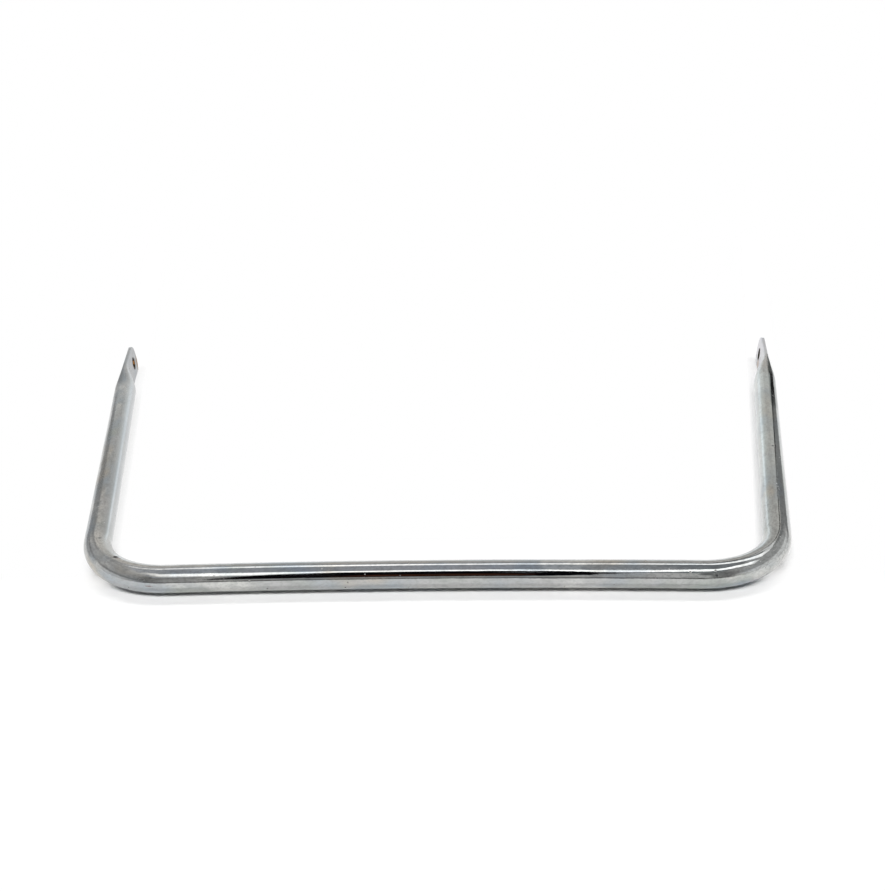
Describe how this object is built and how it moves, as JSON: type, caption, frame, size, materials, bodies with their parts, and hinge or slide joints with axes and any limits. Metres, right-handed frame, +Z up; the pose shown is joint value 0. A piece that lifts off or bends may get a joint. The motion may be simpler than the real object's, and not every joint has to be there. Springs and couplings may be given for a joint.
{
  "type": "spoiler support bar",
  "caption": "Chromed steel tube bent to a wide U, with both ends pressed flat and pierced for a bolt: a support bar for a vehicle's spoiler.",
  "frame": {"origin": "on the bench under the middle of the bar's outer box, with the bar lying flat", "axes": "+X along the crossbar, +Y from the crossbar towards the pressed ends, +Z up from the bench"},
  "size_m": [0.4294, 0.2774, 0.0187],
  "materials": {
    "chrome": "polished, dulled by wear and fine pitting"
  },
  "bodies": {
    "root": {"support_bar": "chrome"}
  },
  "joints": []
}
